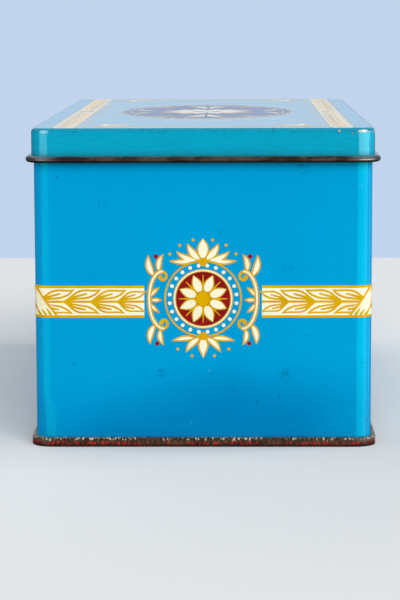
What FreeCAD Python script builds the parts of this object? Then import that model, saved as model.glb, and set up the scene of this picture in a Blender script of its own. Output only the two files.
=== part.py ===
import FreeCAD, Part
import math
import os

# Oblong cookie tin with a slip-on lid, pressed, folded and seamed from thin tinplate.
#
# The tin is three sheets of metal.  The body wall is one strip bent round to an oblong with rounded corners.
# Its two ends hook into each other in a lock seam at the front right corner, which is flush on the outside
# and four layers deep inside.  Its upper edge is hemmed inwards to a smooth mouth.  The base panel is joined
# to the wall by a double seam, in which the panel's edge is folded over the wall's turned-out edge.  The lid
# is drawn from one sheet, and the edge of its skirt is rolled outwards to a bead.
#
# Every section is drawn as a tinsmith thinks of it: a strip of even thickness that runs straight and bends.
#
# Millimetres.  X is the width, Y the length and Z is up.  The narrow front faces -Y.  The origin is the
# middle of the footprint, on the surface that the tin stands on.

# ---- the metal ---------------------------------------------------------------------------------------------
sheet = 0.30              # thickness of the tinplate

# ---- body wall ---------------------------------------------------------------------------------------------
body_width = 108.6        # outside, across X
body_length = 218.6       # outside, along Y
body_height = 102.5       # from the table to the top of the mouth
corner_radius = 5.0       # outside of the wall
hem_gap = 0.25            # between the wall and the part of it that is folded down inside the mouth
hem_depth = 3.0           # from the top of the mouth to the hem's raw edge

# ---- lock seam of the body wall, at the front right corner -------------------------------------------------
groove_angle = 45.0       # degrees round the corner at which the front's sheet turns in to the folds
fold_angle = 28.0         # degrees round the corner that the folds overlap
lock_gap = 0.08           # between the folded layers
jog_radius = 0.15         # inside of the two bends that take the front's sheet in behind the folds
lock_notch = 0.5          # the folds are cut away this far from the base panel and from the mouth's hem

# ---- base panel and its double seam ------------------------------------------------------------------------
seam_height = 3.0         # of the double seam, from the table
seam_gap = 0.20           # between the layers of the double seam
hook_clearance = 0.20     # from a hook's raw edge to the fold that it is tucked into
countersink = 3.2         # from the table up to the underside of the panel
plateau_inset = 9.0       # from the outside of the wall to the foot of the panel's raised middle
plateau_corner = 8.0      # radius of the raised middle's corners, at its foot
plateau_slope = 35.0      # degrees that its edge rises at
plateau_run = 1.4         # length of that slope

# ---- lid ---------------------------------------------------------------------------------------------------
lid_depth = 11.1          # from the top of the lid to the underside of its bead
lid_clearance = 0.42      # between the skirt and the wall
lid_seat_gap = 0.15       # between the lid's underside and the mouth that it rests on
lid_edge = 0.9            # inside of the bend from the top to the skirt
lid_bead = 2.2            # outside diameter of the bead that is rolled outwards
bead_gap = 0.20           # from the bead's free edge to the skirt

# ---- worked out from the sizes above -----------------------------------------------------------------------
half_sheet = sheet / 2
fold_bottom = countersink + sheet + lock_notch
fold_top = body_height - hem_depth - lock_notch
lid_top = body_height + lid_seat_gap + sheet

LEFT, RIGHT = 1, -1
UP = FreeCAD.Vector(0, 0, 1)


# ---- strips of sheet metal ---------------------------------------------------------------------------------
def direction(degrees):
    """Unit vector at that angle from the X axis."""
    return FreeCAD.Vector(math.cos(math.radians(degrees)), math.sin(math.radians(degrees)), 0)


# A move of a strip is the length or inside radius that it takes, and the angle that it turns to the left.
def run(length):
    """A straight stretch."""
    return length, 0


def bend(side, degrees, inside_radius=0):
    """A bend to one side.  With no inside radius the sheet is folded tight, and is round outside only."""
    return inside_radius, side * degrees


def crease(side, degrees):
    """A fold that is sharp on both faces, for what lies hidden in a seam."""
    return None, side * degrees


class Station:
    """A place on the middle of a strip, with the strip's headings just before it and just after it."""

    def __init__(self, place, heading):
        self.place, self.before, self.after = place, heading, heading

    def edge(self, side):
        """The point of one of the strip's faces here, on the mitre line of a crease."""
        across = direction(self.before + 90) + direction(self.after + 90)
        return self.place + across * (2 * side * half_sheet / across.dot(across))


def strip(start, heading, moves):
    """Face of a strip of sheet, whose middle leaves a point at a heading and makes the moves."""
    stations = [Station(FreeCAD.Vector(*start), heading)]
    stretches = []
    for size, turn in moves:
        first = stations[-1]
        if size is None:
            first.after = first.before + turn
            continue
        if turn == 0:
            middle = None
            last = Station(first.place + direction(first.after) * size, first.after)
        else:
            to_centre = 90 * math.copysign(1, turn)
            radius = size + half_sheet
            centre = first.place + direction(first.after + to_centre) * radius
            middle, last = (
                Station(centre - direction(along + to_centre) * radius, along)
                for along in (first.after + turn / 2, first.after + turn)
            )
        stations.append(last)
        stretches.append((first, middle, last))

    faces = {}
    for side in (LEFT, RIGHT):
        faces[side] = []
        for first, middle, last in stretches:
            if first.edge(side).isEqual(last.edge(side), 1e-6):
                continue
            if middle:
                curve = Part.Arc(first.edge(side), middle.edge(side), last.edge(side))
            else:
                curve = Part.LineSegment(first.edge(side), last.edge(side))
            faces[side].append(curve)
    raw_start, raw_end = (
        Part.LineSegment(station.edge(LEFT), station.edge(RIGHT)) for station in (stations[0], stations[-1])
    )
    outline = [raw_start, *faces[RIGHT], raw_end, *reversed(faces[LEFT])]
    return Part.Face(Part.Wire([curve.toShape() for curve in outline]))


# ---- oblongs with rounded corners --------------------------------------------------------------------------
class Oblong:
    """A rectangle round the origin with rounded corners, seen from above."""

    def __init__(self, width, length, radius):
        self.width, self.length, self.radius = width, length, radius
        x, y = width / 2 - radius, length / 2 - radius
        self.corners = [FreeCAD.Vector(*at, 0) for at in ((x, -y), (x, y), (-x, y), (-x, -y))]

    def grown(self, distance):
        """The oblong that runs at a distance outside this one, or inside it if the distance is negative."""
        return Oblong(self.width + 2 * distance, self.length + 2 * distance, self.radius + distance)

    def sides(self):
        """Each side as its outward angle and the centres of the corners that it runs between."""
        for count in range(4):
            yield 90 * count, self.corners[count], self.corners[(count + 1) % 4]

    def plate(self, bottom):
        """Flat sheet of this shape, with its underside at a height."""
        edges = []
        for angle, first, second in self.sides():
            out, out_middle, out_end = (direction(angle + turn) * self.radius for turn in (0, 45, 90))
            edges.append(Part.LineSegment(first + out, second + out))
            edges.append(Part.Arc(second + out, second + out_middle, second + out_end))
        outline = Part.Wire([edge.toShape() for edge in edges])
        return Part.Face(outline).extrude(UP * sheet).translated(UP * bottom)

    def ring(self, section):
        """Solid that a section makes when it is carried all the way round.

        The section's X is the distance outside the oblong, and its Y is the height.
        """
        stand_up = FreeCAD.Rotation(FreeCAD.Vector(1, 0, 0), 90)
        pieces = []
        for angle, first, second in self.sides():
            facing = FreeCAD.Rotation(UP, angle).multiply(stand_up)
            placed = section.copy()
            placed.Placement = FreeCAD.Placement(first + direction(angle) * self.radius, facing)
            pieces.append(placed.extrude(second - first))
            pieces.append(placed.translated(second - first).revolve(second, UP, 90))
        return joined(*pieces)


def joined(first, *others):
    """One solid made of several that share faces."""
    return first.multiFuse(list(others)).removeSplitter().Solids[0]


wall_outside = Oblong(body_width, body_length, corner_radius)

# ---- double seam: where its layers lie ---------------------------------------------------------------------
# Distances outside the wall's outer face, and heights, are to the middle of the sheet.
seam_step = sheet + seam_gap
wall_middle = -half_sheet
rim_middle = wall_middle - seam_step                      # the panel's rim, inside the wall
seam_outer_middle = wall_middle + 3 * seam_step           # the panel's edge, outside everything
wall_fold = half_sheet + seam_step                        # height at which the wall turns out
panel_fold = seam_height - half_sheet                     # height at which the panel turns in over it
hook = panel_fold - wall_fold - sheet - hook_clearance    # length of either hook, from its fold's middle


# ---- body wall ---------------------------------------------------------------------------------------------
def wall_foot():
    """The wall below the folds of its lock seam, with its lower edge turned out and up to a hook."""
    return wall_outside.ring(strip((wall_middle, fold_bottom), -90, [
        run(fold_bottom - wall_fold),
        crease(LEFT, 90),
        run(2 * seam_step),
        crease(LEFT, 90),
        run(hook + half_sheet),
    ]))


def wall_mouth():
    """The wall above the folds of its lock seam, with its upper edge folded down inside."""
    return wall_outside.ring(strip((wall_middle, fold_top), 90, [
        run(body_height - sheet - fold_top),
        bend(LEFT, 90),
        run(hem_gap + half_sheet),
        crease(LEFT, 90),
        run(hem_depth - half_sheet),
    ]))


def wall_with_lock_seam():
    """The wall between its foot and its mouth: one strip bent round the oblong, with its ends hooked together.

    Seen from above, the strip starts with the raw edge of the front's hook.  It goes round that hook, steps
    out to the wall at the groove, runs clockwise round the tin and ends with the side's hook.  At the corner
    the layers, from the outside in, are the side's wall, the front's hook, the side's hook and the front.
    """
    lock_step = sheet + lock_gap
    side_wall, front_hook, side_hook, front_inside = (
        corner_radius - half_sheet - lock_step * layer for layer in range(4)
    )
    # The front's sheet turns in at the groove, towards the corner's centre, and bends along the inside layer.
    jog_middle = jog_radius + half_sheet
    jog_end = front_inside + jog_middle
    jog_angle = math.degrees(math.asin(2 * jog_middle / jog_end))
    jog_run = side_wall - jog_middle - jog_end * math.cos(math.radians(jog_angle))
    # The side's hook bends back just past it.
    hook_offset = jog_middle + half_sheet + lock_gap + half_sheet + lock_step
    hook_angle = groove_angle + math.degrees(math.asin(hook_offset / front_hook))
    inside_turn = hook_angle + fold_angle - groove_angle - jog_angle

    def follow(side, degrees, middle_radius):
        return bend(side, degrees, middle_radius - half_sheet)

    front_run = run(body_width - 2 * corner_radius)
    side_run = run(body_length - 2 * corner_radius)
    corner = follow(RIGHT, 90, side_wall)
    start = wall_outside.corners[0] + direction(hook_angle - 90) * front_hook
    outline = strip(start, hook_angle, [
        follow(LEFT, fold_angle, front_hook),
        follow(LEFT, 180, lock_step),
        follow(RIGHT, inside_turn, front_inside),
        bend(LEFT, 90 - jog_angle, jog_radius),
        run(jog_run),
        bend(RIGHT, 90, jog_radius),
        follow(RIGHT, groove_angle, side_wall),
        front_run, corner, side_run, corner, front_run, corner, side_run,
        follow(RIGHT, 90 - hook_angle, side_wall),
        follow(RIGHT, 180, lock_step),
        follow(LEFT, fold_angle, side_hook),
    ])
    return outline.extrude(UP * (fold_top - fold_bottom)).translated(UP * fold_bottom)


def body_wall():
    return joined(wall_foot(), wall_with_lock_seam(), wall_mouth())


# ---- base panel --------------------------------------------------------------------------------------------
def base_panel():
    """The stamped panel: a raised middle, a flat border, and a rim that goes down, out and over the hook."""
    border_middle = countersink + half_sheet
    foot = Oblong(body_width - 2 * plateau_inset, body_length - 2 * plateau_inset, plateau_corner)
    slope_width = plateau_run * math.cos(math.radians(plateau_slope))
    slope_height = plateau_run * math.sin(math.radians(plateau_slope))
    slope_ends = sheet  # flat stretch that the slope's ring has at its head and at its foot
    slope = foot.ring(strip((-slope_width - slope_ends, border_middle + slope_height), 0, [
        run(slope_ends),
        crease(RIGHT, plateau_slope),
        run(plateau_run),
        crease(LEFT, plateau_slope),
        run(slope_ends),
    ]))
    rim = wall_outside.ring(strip((rim_middle - sheet, border_middle), 0, [
        run(sheet),
        crease(RIGHT, 90),
        run(border_middle - half_sheet),
        crease(LEFT, 90),
        run(seam_outer_middle - rim_middle - half_sheet),
        bend(LEFT, 90),
        run(panel_fold - half_sheet - sheet),
        bend(LEFT, 90),
        run(2 * seam_step - half_sheet),
        crease(LEFT, 90),
        run(hook + half_sheet),
    ]))
    border = wall_outside.grown(rim_middle - sheet).plate(countersink)
    border = border.cut(foot.grown(slope_ends).plate(countersink))
    plateau = foot.grown(-slope_width - slope_ends).plate(countersink + slope_height)
    return joined(rim, border, slope, plateau)


# ---- lid ---------------------------------------------------------------------------------------------------
def lid():
    """The drawn lid: a flat top, a rounded edge, a skirt over the wall and a bead rolled outwards."""
    skirt_middle = lid_clearance + half_sheet
    top_edge = skirt_middle - lid_edge - half_sheet
    bead_radius = lid_bead / 2
    # The bead stops where its free edge comes near the skirt again.
    bead_turn = 360 - math.degrees(math.acos((bead_radius - sheet - bead_gap) / bead_radius))
    skirt = wall_outside.ring(strip((top_edge, lid_top - half_sheet), 0, [
        bend(RIGHT, 90, lid_edge),
        run(lid_depth - sheet - lid_edge - bead_radius),
        bend(LEFT, bead_turn, bead_radius - sheet),
    ]))
    return joined(skirt, wall_outside.grown(top_edge).plate(lid_top - sheet))


os.makedirs("parts", exist_ok=True)
for make in (body_wall, base_panel, lid):
    shape = make()
    shape.exportStep("parts/" + make.__name__ + ".step")
    box = shape.optimalBoundingBox(True, False)
    print("%s: %s, %.1f x %.1f x %.1f mm, from z = %.2f, %.0f cubic mm" % (
        make.__name__, "valid" if shape.isValid() else "NOT valid",
        box.XLength, box.YLength, box.ZLength, box.ZMin, shape.Volume,
    ))
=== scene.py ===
# %% [markdown]
# # An old cookie tin
#
# This lesson dresses a finished metal model of an oblong biscuit tin. Its three sheets of tinplate, which
# are the wall, the base panel and the slip-on lid, come ready made. What is added here is what the printer
# and the years have put on them: blue and teal inks, a laurel band, an ornament on each end, varnish,
# grime, chips and rust. Everything is in metres, and sizes that a tinsmith would give in millimetres are
# multiplied by `MM`.
# Some shade, a red reflection and a few glints are painted into the colours as well.

import math

import bmesh
import bpy
from mathutils import Matrix, Vector, kdtree


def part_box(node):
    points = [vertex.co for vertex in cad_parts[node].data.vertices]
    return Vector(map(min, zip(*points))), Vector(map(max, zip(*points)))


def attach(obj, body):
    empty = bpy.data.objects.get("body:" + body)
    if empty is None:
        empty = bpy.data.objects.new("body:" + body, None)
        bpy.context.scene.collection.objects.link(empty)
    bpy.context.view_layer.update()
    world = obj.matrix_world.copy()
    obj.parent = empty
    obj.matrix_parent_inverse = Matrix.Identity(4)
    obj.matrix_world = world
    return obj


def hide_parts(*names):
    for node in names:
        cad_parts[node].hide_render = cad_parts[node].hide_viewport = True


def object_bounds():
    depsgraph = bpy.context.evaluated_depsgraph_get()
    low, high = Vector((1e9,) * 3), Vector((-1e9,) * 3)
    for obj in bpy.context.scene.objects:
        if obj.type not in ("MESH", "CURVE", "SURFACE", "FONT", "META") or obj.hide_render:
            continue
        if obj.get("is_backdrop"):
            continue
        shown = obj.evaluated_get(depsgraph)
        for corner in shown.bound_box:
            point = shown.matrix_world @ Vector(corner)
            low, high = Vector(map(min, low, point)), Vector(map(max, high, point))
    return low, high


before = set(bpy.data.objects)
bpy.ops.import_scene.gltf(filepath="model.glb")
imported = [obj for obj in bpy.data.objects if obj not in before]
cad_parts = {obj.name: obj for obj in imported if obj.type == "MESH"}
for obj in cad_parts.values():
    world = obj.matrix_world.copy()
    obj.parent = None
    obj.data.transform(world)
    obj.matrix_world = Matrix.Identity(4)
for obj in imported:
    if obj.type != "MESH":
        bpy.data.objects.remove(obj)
cad_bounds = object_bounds()
MM = 0.001
scene = bpy.context.scene
print("nodes:", ", ".join(sorted(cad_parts)))

# %% [markdown]
# ## Measuring the tin
#
# The print has to sit on the metal to within a few hundredths of a millimetre, so the sizes of the outer
# faces are measured on the meshes. A slice through a piece at some height tells how far it reaches there,
# which gives the wall without the seam at its foot, and the skirt without its bead.


# %% Measure the sheets
def reach(node, height):
    """Half width and half length of a node's slice at a height."""
    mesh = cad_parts[node].data
    across = along = 0.0
    for edge in mesh.edges:
        start, end = (mesh.vertices[i].co for i in edge.vertices)
        if min(start.z, end.z) < height < max(start.z, end.z):
            cut = start.lerp(end, (height - start.z) / (end.z - start.z))
            across, along = max(across, cut.x), max(along, cut.y)
    return across, along


_, wall_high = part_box("body_wall")
lid_low, lid_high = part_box("lid")
SHEET = 0.3 * MM
CORNER = 5.0 * MM                                   # radius of the wall's corners, outside
BEAD = 2.2 * MM                                     # thickness of the bead rolled round the lid's edge
HALF_X, HALF_Y = reach("body_wall", wall_high.z / 2)
SKIRT_X, SKIRT_Y = reach("lid", (lid_low.z + BEAD + lid_high.z) / 2)
SKIRT_CORNER = CORNER + SKIRT_X - HALF_X
MIDDLE = 47.2 * MM                                  # height of the laurel band's stem
print("wall %.2f x %.2f mm, skirt %.2f x %.2f mm" % tuple(
    size / MM for size in (2 * HALF_X, 2 * HALF_Y, 2 * SKIRT_X, 2 * SKIRT_Y)))

# %% [markdown]
# ## The camera
#
# The tin is seen almost square on, from a little above its lid, through a long lens. A long lens stands
# far away, so the side walls hardly show and the lid's top is a thin sliver. The camera is turned by three
# plain angles, and its matrix is made from the three directions that they give.


# %% Place the camera
def look(place, yaw, pitch, roll):
    """A camera's matrix, from the angles in degrees that it turns right, down and clockwise."""
    yaw, pitch, roll = (math.radians(angle) for angle in (yaw, pitch, roll))
    forward = Vector((math.sin(yaw) * math.cos(pitch), math.cos(yaw) * math.cos(pitch), -math.sin(pitch)))
    level = Vector((math.cos(yaw), -math.sin(yaw), 0))
    over = level.cross(forward)
    right = level * math.cos(roll) + over * math.sin(roll)
    up = over * math.cos(roll) - level * math.sin(roll)
    return Matrix.Translation(place) @ Matrix((right, up, -forward)).transposed().to_4x4()


lens = bpy.data.cameras.new("camera")
lens.lens = 128.8                                   # focal length in millimetres
lens.clip_start = 0.01
camera = bpy.data.objects.new("camera", lens)
camera.matrix_world = look(Vector((10.8, -792.0, 140.4)) * MM, yaw=-0.99, pitch=7.73, roll=-0.18)
scene.collection.objects.link(camera)
scene.camera = camera
print("camera %.2f m from the tin" % camera.location.length)

# %% [markdown]
# ## Writing node trees as sums
#
# Node trees built with bare calls are hard to read. Two small classes fix that. `Wire` stands for the
# output of a node and can be added, multiplied and so on, so that `1 - wear * 0.5` builds its Math nodes
# by itself. `Nodes` holds a tree, and its one method makes any node at all from its type, its settings and
# its sockets. The same two serve materials and Geometry Nodes.


# %% The two classes
class Wire:
    """An output socket that can be written into sums."""

    def __init__(self, nodes, socket):
        self.nodes, self.socket = nodes, socket

    def math(self, operation, first, second):
        """One Math node, or a Vector Math node where a term is a vector."""
        kinds = [term.socket.type for term in (first, second) if isinstance(term, Wire)]
        if operation == "MULTIPLY" and "VECTOR" in kinds and len(set(kinds)) > 1:
            arrow, number = (first, second) if kinds[0] == "VECTOR" else (second, first)
            return self.nodes.node("ShaderNodeVectorMath", {"operation": "SCALE"}, {
                0: arrow, "Scale": number})
        kind = "ShaderNodeVectorMath" if "VECTOR" in kinds else "ShaderNodeMath"
        return self.nodes.node(kind, {"operation": operation}, {0: first, 1: second})

    def __add__(self, other):
        return self.math("ADD", self, other)

    def __sub__(self, other):
        return self.math("SUBTRACT", self, other)

    def __rsub__(self, other):
        return self.math("SUBTRACT", other, self)

    def __mul__(self, other):
        return self.math("MULTIPLY", self, other)

    def __truediv__(self, other):
        return self.math("DIVIDE", self, other)

    def __pow__(self, other):
        return self.math("POWER", self, other)

    def __neg__(self):
        return self.math("MULTIPLY", self, -1)

    def least(self, other):
        """The smaller of two values."""
        return self.math("MINIMUM", self, other)

    def most(self, other):
        """The greater of two values."""
        return self.math("MAXIMUM", self, other)

    __radd__ = __add__
    __rmul__ = __mul__


class Nodes:
    """A node tree under construction."""

    def __init__(self, tree):
        self.tree = tree

    def node(self, kind, settings=None, sockets=None, output=0):
        """Makes a node, sets it, fills or links its sockets, and returns one of its outputs."""
        made = self.tree.nodes.new(kind)
        for name, value in (settings or {}).items():
            setattr(made, name, value)
        for name, value in (sockets or {}).items():
            for part in value if isinstance(value, list) else [value]:
                if isinstance(part, Wire):
                    self.tree.links.new(part.socket, made.inputs[name])
                else:
                    made.inputs[name].default_value = part
        return Wire(self, made.outputs[output]) if made.outputs else made


# %% [markdown]
# ## Colours and masks
#
# Colours are written as a paint chart has them, in sRGB from 0 to 255, and turned into the linear values
# that a renderer adds up. A material is then a base finish with masks laid over it. A mask runs from 0 to
# 1 over the surface: noise pushed through a steep step gives chips and specks, and a distance gives an
# edge. Where two kinds of surface meet on one sheet, such as varnish and bare metal, each has its own
# shader, and a mask mixes the two. All patterns read Object coordinates, which are the piece's own metres,
# so they stay put when the lid is lifted.


# %% Helpers for materials
def colour(red, green, blue):
    """Linear colour of an sRGB one."""
    shares = (level / 255 for level in (red, green, blue))
    return tuple(c / 12.92 if c <= 0.04045 else ((c + 0.055) / 1.055) ** 2.4 for c in shares)


class Finish(Nodes):
    """A material under construction, whose masks are written as sums."""

    def __init__(self, name):
        self.material = bpy.data.materials.new(name)
        self.material.use_nodes = True
        super().__init__(self.material.node_tree)
        self.tree.nodes.clear()
        self.place = self.node("ShaderNodeTexCoord", output="Object")
        self.x, self.y, self.z = (
            self.node("ShaderNodeSeparateXYZ", sockets={0: self.place}, output=axis) for axis in "XYZ")

    def noise(self, size, detail=2.0, roughness=0.5, stretch=(1, 1, 1)):
        """Noise whose blobs are about a size across, drawn out along an axis by its stretch."""
        place = self.node("ShaderNodeVectorMath", {"operation": "DIVIDE"}, {0: self.place, 1: stretch})
        return self.node("ShaderNodeTexNoise", {}, {
            "Vector": place, "Scale": 1 / size, "Detail": detail, "Roughness": roughness})

    def spots(self, apart, size, edge=0.3):
        """Ragged round spots up to a size across, in cells that are so far apart."""
        near = self.node("ShaderNodeTexVoronoi", {}, {"Vector": self.place, "Scale": 1 / apart}) * apart
        return 1 - self.step(near + self.noise(size, 1.0) * (size * edge), size * 0.5, size * 0.65)

    def step(self, value, low, high):
        """0 below low, 1 above high, and smooth between them."""
        return self.node("ShaderNodeMapRange", {"interpolation_type": "SMOOTHSTEP"}, {
            "Value": value, "From Min": low, "From Max": high})

    def size_of(self, value):
        """A number without its sign."""
        return self.node("ShaderNodeMath", {"operation": "ABSOLUTE"}, {0: value})

    def mix(self, mask, first, second):
        """The first colour where the mask is 0, and the second where it is 1."""
        ends = {
            socket: end if isinstance(end, Wire) else (*end, 1) for socket, end in ((6, first), (7, second))}
        return self.node("ShaderNodeMix", {"data_type": "RGBA"}, {0: mask, **ends}, output=2)

    def rounded(self, across, along, radius):
        """Distance outside two faces that meet in a bend, from the distances outside each of them."""
        across, along = across + radius, along + radius
        return (across.most(0) ** 2 + along.most(0) ** 2) ** 0.5 + across.most(along).least(0) - radius

    def outside(self, half_x, half_y, radius):
        """Distance outside an oblong with rounded corners, seen from above."""
        return self.rounded(self.size_of(self.x) - half_x, self.size_of(self.y) - half_y, radius)

    def shader(self, base, roughness, metallic=0.0, bump=None, bump_depth=0.0, **uniform):
        """A Principled shader. Values in uniform are the same all over, and are set on the shader itself."""
        sockets = {"Base Color": base, "Roughness": roughness, "Metallic": metallic}
        if bump is not None:
            sockets["Normal"] = self.node("ShaderNodeBump", {}, {
                "Height": bump, "Strength": 1.0, "Distance": bump_depth})
        for name, value in uniform.items():
            sockets[name.replace("_", " ")] = value
        return self.node("ShaderNodeBsdfPrincipled", {}, sockets)

    def done(self, shader, other=None, mask=0.0):
        """Ends the material: one shader, or a second one over it where a mask is 1."""
        if other is not None:
            shader = self.node("ShaderNodeMixShader", {}, {0: mask, 1: shader, 2: other})
        self.node("ShaderNodeOutputMaterial", {}, {"Surface": shader})
        return self.material


# %% [markdown]
# ## The printed wall
#
# Tin boxes are printed flat, before the sheet is bent, so the ink covers the outside only. The wall is one
# mesh, and a distance from the oblong of its outer face tells outside from inside, where the tinplate is
# bare. The blue is not quite even: the ink is a little mottled and smudged, and specks of rust have come
# through. Towards the foot, most of all in the middle of each face, the blue is darkened with painted
# shade. Varnish over blue ink shines bluish white, so the gloss has a tint. The groove of the lock seam
# has kept its ink, and near the foot rust has crept into it. One corner has been knocked near the foot: a
# gentle hump in the bump map widens what it mirrors there.

# %% Blue wall
BLUE = colour(0, 154, 208)
DEEP_BLUE = colour(0, 106, 170)
RUST = colour(86, 50, 30)
RED_RUST_AND_REFLECTION = colour(184, 42, 32)
DARK_RUST = colour(38, 24, 18)
TIN = colour(178, 172, 160)


def dents(finish):
    """Height of a sheet that has been knocked about a little, under a thin varnish with fine orange peel."""
    return finish.noise(38 * MM, 1.0) * 0.9 + finish.noise(0.9 * MM, 2.0) * 0.012


def bare_tin(finish):
    """Colour and roughness of dull, lacquered tinplate."""
    cloud = finish.noise(11 * MM, 4.0, 0.6)
    streak = finish.noise(1.4 * MM, 3.0, 0.6, stretch=(1, 1, 14))
    tone = finish.step(cloud * 0.6 + streak * 0.4, 0.3, 0.7)
    return finish.mix(tone, colour(150, 141, 124), TIN), 0.32 + tone * 0.14


def wall_finish():
    """Varnished blue outside and bare tinplate inside."""
    finish = Finish("wall_print")
    depth = finish.outside(HALF_X, HALF_Y, CORNER)
    printed = finish.step(depth, -0.14 * MM, -0.10 * MM)
    mottle = finish.step(finish.noise(23 * MM, 3.0, 0.55), 0.3, 0.75)
    # Painted shade: the blue darkens towards the foot, most in the middle of each face.
    foot = finish.step(finish.noise(48 * MM, 1.5) * (26 * MM) - finish.z, -17 * MM, 5 * MM)
    foot = foot * (1 - finish.step(finish.size_of(finish.x), 28 * MM, 50 * MM) * 0.5)
    ink = finish.mix(foot * 0.60 + mottle * 0.10, BLUE, DEEP_BLUE)
    fine = finish.noise(0.8 * MM, 2.0, 0.6)
    smudge = finish.spots(19 * MM, 6.5 * MM, 0.6) * finish.step(fine, 0.50, 0.62)
    ink = finish.mix(smudge * 0.4, ink, colour(0, 62, 100))
    ink = finish.mix(finish.spots(5.6 * MM, 0.6 * MM) * 0.8, ink, DARK_RUST)
    ink = finish.mix(finish.spots(10 * MM, 0.5 * MM) * 0.7, ink, colour(150, 196, 214))
    metal, metal_rough = bare_tin(finish)
    from_edge = CORNER * (1 - math.sqrt(0.5))           # to the middle of the rounded corner
    apart = ((finish.x - HALF_X + from_edge) ** 2 + (finish.y + HALF_Y - from_edge) ** 2) ** 0.5
    groove = 1 - finish.step(apart, 0.9 * MM, 1.3 * MM)
    crept = finish.step(fine, 0.5, 0.6) * finish.step(-finish.z, -14 * MM, -6 * MM)
    metal = finish.mix(groove, metal, finish.mix(crept, colour(0, 158, 208), RUST))
    inwards = finish.x + HALF_X
    knock = finish.step(inwards, 1.2 * MM, 7 * MM) * (1 - finish.step(inwards, 7 * MM, 30 * MM)) * 0.8
    knock = knock * finish.step(-finish.z, -20 * MM, -7 * MM)
    knock = knock * finish.step(-finish.y, HALF_Y - 9 * MM, HALF_Y)
    bare = finish.shader(
        metal, metal_rough, metallic=0.6 - groove * 0.6, bump=dents(finish), bump_depth=1 * MM)
    varnished = finish.shader(
        ink, 0.20 + mottle * 0.05, metallic=0.08, bump=dents(finish) + knock, bump_depth=1 * MM,
        Specular_IOR_Level=0.85, Specular_Tint=(0.01, 1.0, 0.08, 1.0))
    return finish.done(bare, varnished, printed)


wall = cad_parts["body_wall"]
wall.material_slots[0].material = wall_finish()
print("wall:", len(wall.data.polygons), "triangles in", wall.material_slots[0].material.name)

# %% [markdown]
# ## The base and its seam
#
# The base panel was never printed. Its folded edge is the rim that the tin stands on, so it has had the
# hardest life: the brown lacquer is rubbed through to bright tin along its upper edge and worn grey at the
# corners, and it has rusted where it was damp, most of all near the foot. The red of that rust is partly
# a painted red reflection, and the rim's lowest edge, where it meets the table, is darkened with painted
# shade.


# %% Rusty base
def base_finish():
    """Worn and rusty lacquer on the rim, and pitted tinplate underneath and inside."""
    finish = Finish("base_lacquer")
    rim = finish.step(finish.outside(HALF_X, HALF_Y, CORNER), -0.05 * MM, 0.05 * MM)
    fine = finish.noise(0.7 * MM, 3.0, 0.6, stretch=(1, 1, 2))
    patch = finish.noise(7 * MM, 2.0)
    edge = finish.step(finish.z, 1.3 * MM, 2.7 * MM)
    lacquer = finish.mix(finish.step(fine, 0.35, 0.65), colour(46, 28, 14), colour(96, 66, 38))
    # Rust low on the rim; its red is partly a painted red reflection.
    rust = finish.step(fine + patch * 0.9 - edge * 0.6, 0.88, 0.95)
    side = finish.mix(rust, lacquer, finish.mix(finish.step(fine, 0.45, 0.6), colour(58, 18, 12), RED_RUST_AND_REFLECTION))
    corner = finish.step(finish.size_of(finish.x) / HALF_X + finish.size_of(finish.y) / HALF_Y, 1.87, 1.93)
    side = finish.mix(corner * edge * 0.8, side, colour(96, 84, 70))
    rubbed = finish.step(fine + patch * 0.35 + edge * 0.25, 0.98, 1.04) * finish.step(edge, 0.15, 0.45)
    side = finish.mix(rubbed, side, colour(214, 202, 170))
    # Painted shade: the lowest edge of the rim, where it meets the table, is made nearly black.
    side = finish.mix(finish.step(-finish.z, -1.2 * MM, -0.5 * MM) * 0.9, side, colour(14, 10, 8))
    metal, metal_rough = bare_tin(finish)
    pitted = finish.step(finish.noise(6 * MM, 5.0, 0.65), 0.56, 0.68)
    under = finish.mix(pitted * 0.8, metal, RUST)
    rough = (metal_rough + 0.1 + pitted * 0.25) * (1 - rim) + (0.42 + rust * 0.35) * rim
    return finish.done(finish.shader(
        finish.mix(rim, under, side), rough, metallic=0.5 - rim * 0.2,
        bump=finish.noise(1.2 * MM, 4.0, 0.6), bump_depth=0.12 * MM))


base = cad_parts["base_panel"]
base.material_slots[0].material = base_finish()
print("base:", len(base.data.polygons), "triangles in", base.material_slots[0].material.name)

# %% [markdown]
# ## Rails
#
# Both the print and the lid's sheet follow the same kind of path: an oblong with rounded corners. Such a
# path is a closed curve here, a rail, which starts in the middle of the front and runs to the right. Its
# points stand close together round the corners, and an extra point on the flat at each end of a bend keeps
# the flats flat when the sheet is shaded smooth.


# %% Make the two rails
def arc(centre, radius, start, end, count):
    """Points on an arc, between two angles in degrees."""
    angles = (math.radians(start + (end - start) * i / count) for i in range(count + 1))
    return [(centre[0] + radius * math.cos(a), centre[1] + radius * math.sin(a)) for a in angles]


def poly_curve(name, points, closed):
    """A curve object with straight runs between points, in the plane z = 0."""
    data = bpy.data.curves.new(name, "CURVE")
    data.dimensions = "3D"
    line = data.splines.new("POLY")
    line.points.add(len(points) - 1)
    for point, (x, y) in zip(line.points, points):
        point.co = (x, y, 0, 1)
    line.use_cyclic_u = closed
    made = bpy.data.objects.new(name, data)
    scene.collection.objects.link(made)
    return made


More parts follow.
